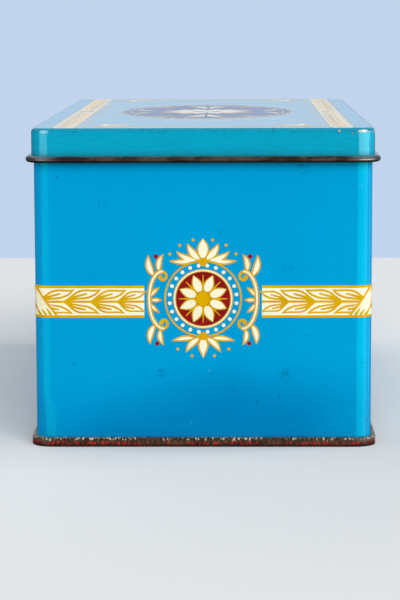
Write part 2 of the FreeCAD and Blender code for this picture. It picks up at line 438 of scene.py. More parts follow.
def rail(name, half_x, half_y, radius, per_corner=20):
    """An oblong's path as a curve object, and its length."""
    points, near = [(0, -half_y)], 0.4 * MM
    flat_x, flat_y = half_x - radius, half_y - radius
    for (x, y), start in zip(((1, -1), (1, 1), (-1, 1), (-1, -1)), (-90, 0, 90, 180)):
        bend = arc((x * flat_x, y * flat_y), radius, start, start + 90, per_corner)
        before, after = ((1, 0), (0, 1)) if x * y < 0 else ((0, 1), (1, 0))
        points.append((bend[0][0] - before[0] * x * near, bend[0][1] - before[1] * y * near))
        points += bend
        points.append((bend[-1][0] - after[0] * x * near, bend[-1][1] - after[1] * y * near))
    length = sum(math.dist(a, b) for a, b in zip(points, points[1:] + points[:1]))
    return poly_curve(name, points, True), length


wall_rail, AROUND = rail("wall_rail", HALF_X, HALF_Y, CORNER)
skirt_rail, _ = rail("skirt_rail", SKIRT_X, SKIRT_Y, SKIRT_CORNER)
print("rails: %.1f mm round the wall" % (AROUND / MM))

# %% [markdown]
# ## Geometry Nodes trees
#
# A tree that makes or moves a shape is a modifier with named inputs. `Tree` starts one, declares its
# inputs and ends it with real geometry and a material. `grow` sets the modifier's inputs by their
# identifiers, and turns the result into a plain mesh at the origin, because what leaves this script is
# meshes and not modifiers.


# %% Helpers for trees
SOCKETS = {float: "NodeSocketFloat", int: "NodeSocketInt", "object": "NodeSocketObject",
           "material": "NodeSocketMaterial"}


class Tree(Nodes):
    """A Geometry Nodes tree with named inputs."""

    def __init__(self, name, inputs):
        super().__init__(bpy.data.node_groups.new(name, "GeometryNodeTree"))
        face = self.tree.interface
        face.new_socket("Geometry", in_out="INPUT", socket_type="NodeSocketGeometry")
        for label, kind in inputs.items():
            face.new_socket(label, in_out="INPUT", socket_type=SOCKETS[kind])
        face.new_socket("Geometry", in_out="OUTPUT", socket_type="NodeSocketGeometry")
        group = self.tree.nodes.new("NodeGroupInput")
        self.inputs = {socket.name: Wire(self, socket) for socket in group.outputs if socket.name}

    def shape_of(self, label):
        """The geometry of an object input."""
        return self.node("GeometryNodeObjectInfo", {}, {"Object": self.inputs[label]}, output="Geometry")

    def finish(self, shape):
        """Makes instances real, gives everything its material and ends the tree."""
        real = self.node("GeometryNodeRealizeInstances", {}, {"Geometry": shape})
        inked = self.node("GeometryNodeSetMaterial", {}, {
            "Geometry": real, "Material": self.inputs["Finish"]})
        self.node("NodeGroupOutput", {}, {0: inked})


def grow(mesh, name, tree, values, body):
    """Runs a tree on a mesh, and returns the result as a plain object that rides on a body."""
    seed = bpy.data.objects.new(name + "_seed", mesh)
    scene.collection.objects.link(seed)
    modifier = seed.modifiers.new("shape", "NODES")
    modifier.node_group = tree.tree
    for item in tree.tree.interface.items_tree:
        if item.in_out == "INPUT" and item.name in values:
            modifier[item.identifier] = values[item.name]
    ready = seed.evaluated_get(bpy.context.evaluated_depsgraph_get())
    plain = bpy.data.meshes.new_from_object(ready)
    plain.name = name
    bpy.data.objects.remove(seed)
    made = bpy.data.objects.new(name, plain)
    scene.collection.objects.link(made)
    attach(made, body)
    print("%s: %d faces" % (name, len(plain.polygons)))
    return made


# %% [markdown]
# ## The lid's sheet
#
# A tinsmith stamps the lid from one sheet: a flat top, a tight bend, a skirt, and an edge that is rolled
# outwards into a hollow bead, so that nobody is cut by it. Every slice through the skirt looks the same,
# which is a rule that Curve to Mesh can follow: the slice is drawn once, as a profile, and carried round
# the rail. The two ends of the profile lie under each other in the flat top, and the holes that they leave
# are closed as two plates. The top is made a tenth of a millimetre low, which is the room that its inks
# need. A profile's y points downwards on a rail that turns to the left, so its heights are written with a
# minus.

# %% The lid's profile and its tree
INK_ROOM = 0.10 * MM
EDGE = 1.2 * MM                                     # outer radius of the bend round the top
LID_TOP = lid_high.z - INK_ROOM


def lid_profile():
    """The sheet's outline in a slice: x is outwards from the skirt's outer face, and y is height."""
    mid, eye = (lid_high.x - SKIRT_X - BEAD / 2, lid_low.z + BEAD / 2), BEAD / 2 - SHEET
    rolled = 180 + 303                                  # the angle at which the bead's edge ends
    bend = (-EDGE, LID_TOP - EDGE)
    inner = arc(bend, EDGE - SHEET, 90, 0, 8)
    curl = arc(mid, BEAD / 2, 180, rolled, 32)
    hollow = arc(mid, eye, rolled, 180, 24)
    outer = arc(bend, EDGE, 0, 90, 12)
    flat, knee = 0.4 * MM, 0.3 * MM                     # straight runs before and after a bend
    points = [(-EDGE - flat, inner[0][1])] + inner
    points += [(-SHEET, bend[1] - knee), (-SHEET, mid[1] + knee)] + curl + hollow
    points += [(0, mid[1] + knee), (0, bend[1] - knee)] + outer + [(-EDGE - flat, LID_TOP)]
    return points


def sheet_tree():
    """Carries a profile round a rail."""
    tree = Tree("roll_sheet", {"Rail": "object", "Profile": "object", "Finish": "material"})
    path = tree.node("GeometryNodeSetCurveNormal", {"mode": "Z_UP"}, {"Curve": tree.shape_of("Rail")})
    swept = tree.node("GeometryNodeCurveToMesh", {}, {
        "Curve": path, "Profile Curve": tree.shape_of("Profile")})
    smooth = tree.node("GeometryNodeSetShadeSmooth", {}, {"Geometry": swept, "Shade Smooth": True})
    tree.finish(smooth)
    return tree


def close_sheet(piece, crease=35):
    """Fills the holes of a rolled sheet, turns its faces outwards and keeps its sharp folds sharp."""
    work = bmesh.new()
    work.from_mesh(piece.data)
    bmesh.ops.holes_fill(work, edges=[e for e in work.edges if e.is_boundary])
    bmesh.ops.recalc_face_normals(work, faces=work.faces)
    for edge in work.edges:
        edge.smooth = edge.calc_face_angle(0) < math.radians(crease)
    for face in work.faces:
        face.smooth = True
    open_edges = sum(e.is_boundary for e in work.edges)
    work.to_mesh(piece.data)
    work.free()
    return open_edges


# %% [markdown]
# ### Teal lid, brown bead
#
# The sheet is printed teal on the outside. At the bead the sheet's back shows: brown lacquer, worn by
# fingers, and almost to the metal round the corners and along the sides, where hands lift the lid. The
# bead's underside is darkened with painted shade. The print meets the bead in a ragged line of grime.
# The rim round the top is darkened with painted shade, and near each corner it has a pale painted glint.
# Chips in it show tin with rust round it, and the long one at the front right corner is partly a painted glint.

# %% The lid's finish
TEAL = colour(0, 166, 197)
TEAL_DARK = colour(0, 136, 166)
LACQUER = colour(150, 134, 112)
LACQUER_DARK = colour(92, 78, 66)
CHIP_AND_GLINT_WHITE = colour(226, 222, 210)
# The chips' x, y, depth below the top, width and height in millimetres, and how bright each one's metal is.
# The third, long one is partly a painted glint on the bend.
CHIPS_AND_GLINT = (
    (43.4, -110.0, 1.1, 1.1, 0.9, 0.5),
    (47.6, -110.0, 1.7, 1.0, 0.7, 0.2),
    (51.2, -109.7, 1.0, 4.2, 1.0, 1.0),
    (54.6, -106.4, 1.2, 1.4, 1.4, 1.0),
    (51.6, 109.6, 1.2, 3.0, 1.0, 1.0),
    (-53.8, 107.9, 1.3, 1.8, 1.2, 1.0))


def blot(x, y, z, wide, high):
    """Distance from a flat blot's centre, as a share of its size: up to 1 inside it."""
    return ((x ** 2 + y ** 2) * (4 / wide ** 2) + z ** 2 * (4 / high ** 2)) ** 0.5


def teal_ink(finish, depth, bead_top, ragged):
    """Colour of the lid's ink, with painted shade round the top, and its masks of mottle and grime."""
    mottle = finish.step(finish.noise(9 * MM, 4.0, 0.6), 0.3, 0.75)
    rubs = finish.step(finish.noise(0.42 * MM, 2.0, 0.6, stretch=(14, 14, 1)), 0.40, 0.66)
    ink = finish.mix(mottle * 0.16 + rubs * 0.26, TEAL, TEAL_DARK)
    grime = finish.step(-finish.z + ragged * (2.6 * MM), -bead_top - 0.7 * MM, -bead_top + 1.4 * MM)
    ink = finish.mix(grime * 0.42, ink, colour(24, 88, 92))
    # Painted shade: the top of the skirt, in patches, and the bend round the top are darkened.
    painted_rim_shade = finish.step(finish.z, LID_TOP - 1.9 * MM, LID_TOP - 1.0 * MM)
    painted_rim_shade = painted_rim_shade * finish.step(depth, -1.3 * MM, -0.6 * MM) * finish.step(ragged, 0.56, 0.64)
    ink = finish.mix(painted_rim_shade * 0.45, ink, colour(10, 62, 76))
    bend = finish.step(finish.z, LID_TOP - 1.3 * MM, LID_TOP - 0.9 * MM)
    bend = bend * finish.step(depth, -1.3 * MM, -1.1 * MM)
    return finish.mix(bend * 0.45, ink, colour(0, 92, 116)), mottle, grime


def chips_and_glints(finish, ink):
    """The ink with a pale painted glint near each corner, and chips down to tin with rust round them."""
    below = finish.z - LID_TOP
    # Painted glint: a pale blot on the bend near each corner.
    glint_x, glint_y = SKIRT_X - 4.42 * MM, SKIRT_Y - 0.12 * MM
    painted_corner_glint = blot(finish.size_of(finish.x) - glint_x, finish.size_of(finish.y) - glint_y, below + 1.1 * MM,
               3.6 * MM, 1.2 * MM)
    ink = finish.mix((1 - finish.step(painted_corner_glint, 0.5, 1.1)) * 0.7, ink, colour(160, 216, 222))
    crumbs = (finish.noise(0.55 * MM, 2.0, 0.6) - 0.5) * 2.6
    chip_and_glint, crust = 0.0, 0.0
    for x, y, down, wide, high, bright in CHIPS_AND_GLINT:
        spot = blot(finish.x - x * MM, finish.y - y * MM, below + down * MM, wide * MM, high * MM) + crumbs
        chip_and_glint = ((1 - finish.step(spot, 0.72, 0.88)) * bright).most(chip_and_glint)
        crust = (1 - finish.step(spot, 1.0, 1.15)).most(crust)
    return finish.mix(chip_and_glint, finish.mix(crust * 0.7, ink, RUST), CHIP_AND_GLINT_WHITE)


def bead_lacquer(finish, bead):
    """Colour of the bead, and the masks of its painted underside shade and of where hands have worn it."""
    worn = finish.step(finish.noise(2.6 * MM, 4.0, 0.65, stretch=(3, 3, 1)), 0.38, 0.66)
    lacquer = finish.mix(worn, LACQUER_DARK, LACQUER)
    lacquer = finish.mix(finish.spots(5.5 * MM, 0.5 * MM), lacquer, colour(206, 196, 172))
    # Painted shade: the underside of the bead is made nearly black.
    hollow = finish.step(-finish.z, -lid_low.z - 1.3 * MM, -lid_low.z - 0.5 * MM)
    lacquer = finish.mix(hollow * 0.9, lacquer, colour(26, 8, 6))
    handled = finish.step(finish.size_of(finish.x), 45 * MM, 51 * MM) * bead * (1 - hollow)
    return finish.mix(handled * 0.6, lacquer, colour(214, 212, 206)), hollow, handled


def lid_finish():
    """Varnished teal outside, lacquer on the bead and bare tinplate inside."""
    finish = Finish("lid_print")
    depth = finish.outside(SKIRT_X, SKIRT_Y, SKIRT_CORNER)
    bead_top = lid_low.z + BEAD
    ragged = finish.noise(1.3 * MM, 3.0, 0.6)
    above_bead = finish.step(finish.z + ragged * (0.5 * MM), bead_top + 0.1 * MM, bead_top + 0.3 * MM)
    shell = finish.rounded(depth, finish.z - LID_TOP, EDGE)
    printed = above_bead * finish.step(shell, -0.16 * MM, -0.12 * MM)
    bead = (1 - above_bead) * finish.step(depth, -0.32 * MM, -0.28 * MM)
    ink, mottle, grime = teal_ink(finish, depth, bead_top, ragged)
    lacquer, hollow, handled = bead_lacquer(finish, bead)
    metal, metal_rough = bare_tin(finish)
    bare = finish.shader(
        finish.mix(bead, metal, lacquer), metal_rough + hollow * bead * 0.2 - handled * 0.12,
        metallic=0.6 + bead * 0.4 - hollow * bead * 0.4,
        bump=dents(finish), bump_depth=1 * MM, Specular_IOR_Level=0.3)
    varnished = finish.shader(
        chips_and_glints(finish, ink), 0.19 + mottle * 0.05 + grime * 0.2, metallic=0.08, bump=dents(finish),
        bump_depth=1 * MM, Specular_IOR_Level=0.85, Specular_Tint=(0.06, 1.0, 0.7, 1.0), Coat_Weight=1.0,
        Coat_Roughness=0.13)
    return finish.done(bare, varnished, printed)


# %% [markdown]
# With its profile, its tree and its finish ready, the lid can be rolled. It takes the place of the plain
# lid, whose bend and bead are made of flat facets.

# %% Roll the lid
profile = poly_curve("lid_profile", [(x, -z) for x, z in lid_profile()], False)
lid_sheet = grow(bpy.data.meshes.new("lid_seed"), "lid_sheet", sheet_tree(), {
    "Rail": skirt_rail, "Profile": profile, "Finish": lid_finish()}, "lid")
left_open = close_sheet(lid_sheet)
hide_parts("lid")
print("lid: %d edges left open, top at %.2f mm" % (
    left_open, max(v.co.z for v in lid_sheet.data.vertices) / MM))

# %% [markdown]
# ## Drawing with ribbons of ink
#
# The ornament could be painted by the material, but then its finest lines would be as coarse as a
# texture's grain. Here each ink is real: a slab that stands 0.02 to 0.15 mm proud, with crisp edges from
# any distance. Everything is drawn flat in millimetres, as on the printer's plate: x runs round the tin
# from the middle of the front, and y is the height above the band's stem. One kind of shape is enough for
# all of it, a ladder between two edges. A line, a leaf, a petal, a ring and a scroll are all ladders. A
# broad shape that goes round a corner has rails between its edges too, so that it can bend with the metal.


# %% The printer's plate
SUNK = 0.02                                         # how far a slab reaches into the metal
HAIR = 0.001                                        # how much higher each shape lies than the one before
LAYERS = 16                                         # after so many shapes the heights start again
WELD = 0.002                                        # points that are nearer than this are one point


class Plate:
    """One ink's shapes, which are ladders between a left and a right edge."""

    def __init__(self, name, thickness):
        self.name, self.thickness, self.ladders = name, thickness, []

    def ladder(self, *rails, closed=False):
        """Fills between two or more rows of as many points each, whichever way round they are given."""
        left, right, area = rails[0], rails[-1], 0
        for a, b, c, d in zip(left, right, right[1:], left[1:]):
            area += sum(p[0] * q[1] - p[1] * q[0] for p, q in ((a, b), (b, c), (c, d), (d, a)))
        self.ladders.append((rails if area > 0 else rails[::-1], closed))

    def mesh(self):
        """Slabs that start a little under the metal's face, so that no gap shows under them.

        Where shapes overlap, each lies a hair higher than the one before, so that no two faces share a plane.
        A rung is the slab's outline where it is cut across: its upper points and back along its lower ones.
        """
        mesh, work = bpy.data.meshes.new(self.name), bmesh.new()
        for number, (rails, closed) in enumerate(self.ladders):
            thick = self.thickness + HAIR * (number % LAYERS)
            rungs = []
            for spots in zip(*rails):
                points = [(x, y, thick) for x, y in spots] + [(x, y, -SUNK) for x, y in reversed(spots)]
                rungs.append([work.verts.new([c * MM for c in point]) for point in points])
            for here, there in zip(rungs, rungs[1:] + rungs[:1] if closed else rungs[1:]):
                for k in range(len(here)):
                    after = (k + 1) % len(here)
                    work.faces.new((here[k], here[after], there[after], there[k]))
            for rung, way in () if closed else ((rungs[0], -1), (rungs[-1], 1)):
                for k in range(len(rails) - 1):
                    work.faces.new([rung[k], rung[k + 1], rung[-k - 2], rung[-k - 1]][::way])
            bmesh.ops.remove_doubles(work, verts=[v for rung in rungs for v in rung], dist=WELD * MM)
        work.to_mesh(mesh)
        work.free()
        return mesh


# %% [markdown]
# A curve is written as a Bezier with four points, and a line is a curve with a width that may swell and
# fade. A leaf has a gold outline of even width round a cream middle, so it is drawn twice: the whole leaf
# in gold, and on top of it the same leaf in cream, with each rung of its ladder shortened by the width of
# the outline.


# %% Curves, lines and leaves
LINE = 0.70                                         # width of the gold outlines
TIP = 0.02                                          # width of a leaf's tip, and the least that is drawn


def bezier(a, b, c, d, count=12):
    """Points along a Bezier curve."""
    steps = (i / count for i in range(count + 1))
    return [
        tuple((1 - t) ** 3 * p + 3 * t * (1 - t) ** 2 * q + 3 * t * t * (1 - t) * r + t ** 3 * s
              for p, q, r, s in zip(a, b, c, d))
        for t in steps]


def edges(path, widths):
    """The two edges of a line along a path, from its width at each point."""
    left, right = [], []
    for i, (x, y) in enumerate(path):
        (x0, y0), (x1, y1) = path[max(i - 1, 0)], path[min(i + 1, len(path) - 1)]
        long = math.hypot(x1 - x0, y1 - y0) or 1
        side_x, side_y, half = (y0 - y1) / long, (x1 - x0) / long, widths[i] / 2
        left.append((x + side_x * half, y + side_y * half))
        right.append((x - side_x * half, y - side_y * half))
    return left, right


def line(plate, path, width, tail=1.0):
    """A line whose width fades to a share of itself at its far end."""
    last = len(path) - 1
    plate.ladder(*edges(path, [width * (1 + (tail - 1) * (i / last) ** 2) for i in range(last + 1)]))


def outlined(gold, cream, left, right, border=LINE, sides=(1, 1)):
    """A gold shape with a cream middle. A side without a border has 0."""
    gold.ladder(left, right)
    inner_left, inner_right = [], []
    for (ax, ay), (bx, by) in zip(left, right):
        wide = math.hypot(bx - ax, by - ay)
        cut = border / max(wide, 1e-6)
        shares = (0.5, 0.5) if wide <= border * sum(sides) else (cut * sides[0], 1 - cut * sides[1])
        inner_left.append((ax + (bx - ax) * shares[0], ay + (by - ay) * shares[0]))
        inner_right.append((ax + (bx - ax) * shares[1], ay + (by - ay) * shares[1]))
    broad = [i for i, (a, b) in enumerate(zip(inner_left, inner_right)) if math.dist(a, b) > TIP]
    if broad:
        keep = slice(max(broad[0] - 1, 1), broad[-1] + 2)
        cream.ladder(inner_left[keep], inner_right[keep])


def petal(gold, cream, base, tip, width, bend=0.0, count=10, border=LINE):
    """A leaf from base to tip, bent sideways by a share of its length."""
    (x0, y0), (x1, y1) = base, tip
    side_x, side_y = y0 - y1, x1 - x0
    path, widths = [], []
    for i in range(count + 1):
        t = i / count
        sway = bend * 4 * t * (1 - t)
        path.append((x0 + (x1 - x0) * t + side_x * sway, y0 + (y1 - y0) * t + side_y * sway))
        widths.append(width * math.sin(math.pi * t ** 0.8) ** 0.8 if 0 < i < count else TIP)
    outlined(gold, cream, *edges(path, widths), border)


def ring(plate, centre, inner, outer, start=0, end=360, count=24):
    """A ring, a disc or a part of one."""
    closed = abs(end - start) == 360
    inside, outside = (arc(centre, radius, start, end, count) for radius in (inner, outer))
    if closed:
        inside, outside = inside[:-1], outside[:-1]
    plate.ladder(inside, outside, closed=closed)


# %% [markdown]
# ## A sprig of laurel
#
# A laurel band is one sprig, repeated: two leaves that spring from the stem together. Their outer edges
# run along the band's border and their tips point ahead. Each has a short middle line, and the gold
# thickens to a wedge where it joins the stem. The two leaves differ a little, as they do in old
# engravings.

# %% Draw the sprig
SPACING = 8.6                                       # from one pair of leaves to the next


def sprig(gold, cream, border=LINE):
    """A pair of leaves that point to the left, from a joint at the origin."""
    upper = (
        bezier((0.6, 0.1), (-2.4, 1.6), (-3.4, 4.1), (-7.0, 4.0), 9)
        + bezier((-7.6, 4.0), (-9.0, 3.95), (-10.4, 3.7), (-11.9, 4.0), 3),
        bezier((-1.4, -0.1), (-3.0, 0.9), (-5.4, 0.5), (-7.8, 1.0), 9)
        + bezier((-8.4, 1.2), (-9.8, 1.6), (-11.2, 2.6), (-11.9, 3.9), 3))
    lower = (
        bezier((0.6, -0.1), (-1.9, -1.4), (-2.4, -3.7), (-5.4, -3.8), 9)
        + bezier((-6.0, -3.8), (-8.0, -3.8), (-9.6, -3.7), (-11.4, -4.0), 3),
        bezier((-1.4, 0.1), (-2.8, -0.9), (-4.8, -0.8), (-7.0, -1.2), 9)
        + bezier((-7.6, -1.3), (-9.2, -1.8), (-10.5, -2.8), (-11.4, -3.9), 3))
    for left, right in (upper, lower):
        outlined(gold, cream, left, right, border)


def veins(top, width=0.85):
    """The short middle lines of the two leaves and the wedges at their joint, printed last."""
    line(top, [(-0.9, 0.5), (-2.1, 0.85), (-3.2, 1.25)], width * 0.8, tail=0.4)
    line(top, [(-0.9, -0.5), (-1.9, -0.9), (-3.0, -1.4)], width * 0.8, tail=0.4)
    line(top, bezier((-2.0, 1.0), (-3.6, 1.7), (-5.2, 2.0), (-7.4, 2.6), 5), width, tail=0.6)
    line(top, bezier((-1.8, -1.2), (-3.4, -2.0), (-5.0, -2.2), (-6.9, -2.6), 5), width, tail=0.6)


sprig_gold, sprig_cream, sprig_top = Plate("gold_leaf", 0.06), Plate("cream_leaf", 0.08), Plate("vein", 0.10)
sprig(sprig_gold, sprig_cream)
veins(sprig_top)
print("sprig:", sum(len(p.ladders) for p in (sprig_gold, sprig_cream, sprig_top)), "shapes")

# %% [markdown]
# ## A quarter of the band
#
# Each quarter of the way round the tin mirrors the next, so only a quarter is drawn: from the middle of
# the front, round one corner, to the middle of the long side. It has a cream ground between two gold
# stripes, and at the corner a ribbon is wound round the stems. On the front the ground stops short, to
# leave room for the ornament.

# %% Ground, stripes and ribbon
BAND = 5.2                                          # half height of the band
STRIPE = 0.8                                        # width of its gold stripes
STEM = 0.38                                         # half thickness of the stem
STRAND = 0.9                                        # the ribbon is six strands wide
LEAN = 3.4                                          # how far the ribbon leans between its middle and an end
GAP = 18.9                                          # half width of the room for the ornament
FLAT = (HALF_X - CORNER) / MM                       # where the corner starts
BEND = math.pi / 2 * CORNER / MM
QUARTER = AROUND / MM / 4
TIE = FLAT + BEND / 2                               # middle of the corner


def stations(start, end, count=12):
    """Places between two ends, close together where the sheet is bent."""
    marks = [start] + [FLAT + BEND * i / count for i in range(count + 1)] + [end]
    return [mark for mark in marks if start <= mark <= end]


def bar(plate, start, end, low, high):
    """A level bar."""
    marks = stations(start, end)
    plate.ladder([(s, low) for s in marks], [(s, high) for s in marks])


def fine_line(plate, path, width, tail=1.0, apart=0.7):
    """A line whose points are close enough together for the corner."""
    fine = []
    for (x0, y0), (x1, y1) in zip(path, path[1:]):
        count = max(1, round(math.hypot(x1 - x0, y1 - y0) / apart))
        fine += [(x0 + (x1 - x0) * i / count, y0 + (y1 - y0) * i / count) for i in range(count)]
    line(plate, fine + [path[-1]], width, tail)


ground, gold, cream = Plate("ground", 0.03), Plate("gold", 0.06), Plate("cream", 0.08)
top, red, ribbon = Plate("top", 0.13), Plate("red", 0.04), Plate("ribbon", 0.12)
bar(ground, GAP, QUARTER, -BAND + 0.1, BAND - 0.1)
for side in (-1, 1):
    bar(gold, GAP, QUARTER, side * (BAND - STRIPE), side * BAND)
bar(gold, GAP, QUARTER - 4, -STEM, STEM)
slope = [(TIE + t * LEAN, t * (BAND - STRIPE)) for t in (i / 8 - 1 for i in range(17))]
ribbon.ladder(*([(x + STRAND * k, y) for x, y in slope] for k in range(-3, 4)))
for shift in (-3 * STRAND, 3 * STRAND):
    fine_line(top, [(x + shift, y) for x, y in slope], 0.75)
for side in (-1, 1):
    for k in range(3):
        foot = (TIE + side * (4.4 - 1.6 * k), side * (BAND - STRIPE))
        root = (foot[0] - side * 1.5, foot[1] - side * (2.2 - 0.3 * k))
        fine_line(top, [foot, root], 0.85, tail=0.35)
print("band: quarter of %.1f mm, ribbon at %.1f mm" % (QUARTER, TIE))

# %% [markdown]
# ## The ornament
#
# In the middle of each end stands an ornament of the kind that printers kept in their books of stock: a
# red disc with an eight-petalled rosette, a ring of beads, a palmette above, a pendant below and a scroll
# at each side. It has the same inks as the band. Only its right half is drawn, because the left is its
# mirror image.


# %% Draw the right half
def around(centre, radius, angle):
    """The point on a circle at an angle in degrees."""
    angle = math.radians(angle)
    return centre[0] + radius * math.cos(angle), centre[1] + radius * math.sin(angle)


def scroll(plate, centre, radius, start, turn, width, shrink=0.25, count=20):
    """A spiral that winds inwards and thickens to an eye."""
    path = []
    for i in range(count + 1):
        t = i / count
        path.append(around(centre, radius * (1 - (1 - shrink) * t), start + turn * t))
    line(plate, path, width)
    ring(plate, path[-1], 0, width * 0.85, count=10)
    return path


def rosette(red, gold, cream, centre, size, start, border):
    """Half of an eight-petalled flower on a disc, which takes half a turn from an angle."""
    ring(red, centre, 0, size, start, start + 180, 24)
    ring(gold, centre, size * 0.99, size * 1.1, start, start + 180, 24)
    for k in range(4):
        angle = start + 22.5 + 45 * k
        petal(gold, cream, around(centre, size * 0.23, angle), around(centre, size * 0.93, angle),
              size * 0.39, border=border)
    ring(gold, centre, 0, size * 0.26, start, start + 180, 12)


HUB = (0, 0.9)                                      # middle of the disc
rosette(red, gold, cream, HUB, 8.8, -90, 0.4)
rosette(red, gold, cream, (QUARTER, 0), 3.6, 90, 0.3)
ring(cream, HUB, 9.0, 9.4, -90, 90, 24)
ring(gold, HUB, 11.9, 12.5, -90, 90, 24)
for k in range(12):
    ring(cream, around(HUB, 10.8, -82.5 + 15 * k), 0, 0.62, count=8)
for angle in (45, 0, -45):
    line(gold, [around(HUB, radius, angle) for radius in (2.4, 5.4, 7.8)], 0.6, tail=0.4)
for side in (-1, 1):
    ray = [HUB[1] + side * radius for radius in (2.2, 7.8)]
    gold.ladder([(0, y) for y in ray], [(0.3, ray[0]), (0.12, ray[1])])
ring(top, HUB, 0, 1.0, -90, 90, 8)

FINE = 0.5                                          # width of the ornament's gold outlines


def foliage(*shapes):
    """Leaves of the ornament, from the base, tip, width and bend of each."""
    for base, tip, width, bend in shapes:
        petal(gold, cream, base, tip, width, bend, border=FINE)


palmette = [(0.3, 13.2), (1.1, 14.2), (1.8, 15.5), (2.0, 17), (1.6, 18.5), (0.8, 19.6), (TIP, 20.4)]
outlined(gold, cream, [(0, y) for _, y in palmette], palmette, FINE, (0, 1))
foliage(((0.6, 13.4), (5.0, 18.9), 2.7, -0.10), ((1.6, 13.4), (8.6, 16.4), 2.4, -0.12),
        ((2.8, 13.3), (11.0, 13.2), 2.0, -0.05))
pendant = [(0.3, -11.4), (1.3, -12.5), (1.8, -14), (1.5, -15.5), (0.8, -17), (TIP, -18.4)]
outlined(gold, cream, [(0, y) for _, y in pendant], pendant, FINE, (0, 1))
foliage(((0.8, -11.7), (5.6, -16.6), 2.4, 0.10), ((2.4, -11.9), (10.2, -12.8), 2.0, 0.05))
ring(gold, (0, 12.9), 0, 1.5, -90, 90, 8)
ring(gold, (0, -11.2), 0, 1.4, -90, 90, 8)
for spot in ((3.1, 19.9), (7.4, 18.2), (10.6, 15.4), (3.6, -17.6), (8.2, -15.4)):
    ring(gold, spot, 0, 0.53, count=8)

back = bezier((12.9, 9.8), (18.8, 9.6), (18.9, -8.4), (12.5, -8.8), 20)
line(gold, back, 1.5)
line(cream, back, 0.55)
scroll(gold, (13.2, 7.9), 1.9, 92, 250, 0.9)
scroll(gold, (12.9, -6.9), 1.9, -95, -250, 0.9)
foliage(((15.6, 8.2), (17.4, 15.2), 2.5, -0.12), ((14.0, 9.6), (12.6, 15.4), 2.2, -0.14),
        ((15.4, -7.4), (17.0, -14.0), 2.4, 0.12), ((13.6, -8.8), (12.6, -14.2), 2.0, 0.14),
        ((16.9, 0.5), (13.2, 0.5), 1.7, 0.0), ((16.9, 1.5), (13.9, 4.6), 1.6, -0.08),
        ((16.9, -0.5), (13.9, -3.6), 1.6, 0.08))
for spot in ((15.1, 14.6), (14.8, -13.6)):
    ring(red, spot, 0, 0.75, count=8)
print("ornament:", len(gold.ladders) + len(cream.ladders) + len(red.ladders), "shapes")

# %% [markdown]
# ## Printing the wall
#
# This tree is the printing press. It sets the sprigs along the stem, a few towards the ornament and many
# towards the middle of the long side, and joins them to what was drawn one by one. It mirrors the quarter,
# repeats the half that this gives on the far side of the tin, and bends the whole print round the rail: x
# becomes the way along the rail, y the height, and z the distance in front of the metal. A mirror image is
# inside out, so its faces are flipped back. Where the halves of a shape meet, each has a wall that would
# be shut up inside the ink, so both walls are taken out afterwards and their rims are welded.


# %% The press
def mirrored(tree, shape, axis=0):
    """A mirror image to the left of x = 0, or below y = 0, with its faces the right way round."""
    scale = (-1, 1, 1) if axis == 0 else (1, -1, 1)
    turned = tree.node("GeometryNodeTransform", {}, {"Geometry": shape, "Scale": scale})
    return tree.node("GeometryNodeFlipFaces", {}, {"Mesh": turned})


def together(tree, *shapes):
    """Several shapes as one."""
    return tree.node("GeometryNodeJoinGeometry", {}, {0: list(shapes)})


def sprigs(tree, first, step, count, last_size):
    """A row of sprigs at even steps, the last ones smaller."""
    start = tree.node("ShaderNodeCombineXYZ", {}, {"X": first})
    offset = tree.node("ShaderNodeCombineXYZ", {}, {"X": step})
    joints = tree.node("GeometryNodeMeshLine", {"mode": "OFFSET"}, {
        "Count": count, "Start Location": start, "Offset": offset})
    index = tree.node("GeometryNodeInputIndex")
    share = index / (count - 1)
    size = 1 - share ** 4 * (1 - last_size)
    scale = tree.node("ShaderNodeCombineXYZ", {}, {"X": size, "Y": size ** 0.5, "Z": 1.0})
    placed = tree.node("GeometryNodeInstanceOnPoints", {}, {
        "Points": joints, "Instance": tree.shape_of("Sprig"), "Scale": scale})
    return tree.node("GeometryNodeRealizeInstances", {}, {"Geometry": placed})


def join_halves(mesh):
    """Takes out the walls that two halves of a shape turn to each other, and welds the halves."""
    near, opposite = 0.0003 * MM, -0.99
    work = bmesh.new()
    work.from_mesh(mesh)
    faces = list(work.faces)
    centres = kdtree.KDTree(len(faces))
    for number, face in enumerate(faces):
        centres.insert(face.calc_center_median(), number)
    centres.balance()
    walls = [
        face for face in faces
        if any(face.normal.dot(faces[other].normal) < opposite
               for _, other, _ in centres.find_range(face.calc_center_median(), near))]
    rims = {vert for face in walls for vert in face.verts}
    bmesh.ops.delete(work, geom=walls, context="FACES")
    bmesh.ops.remove_doubles(work, verts=[vert for vert in work.verts if vert in rims], dist=near)
    work.to_mesh(mesh)
    work.free()


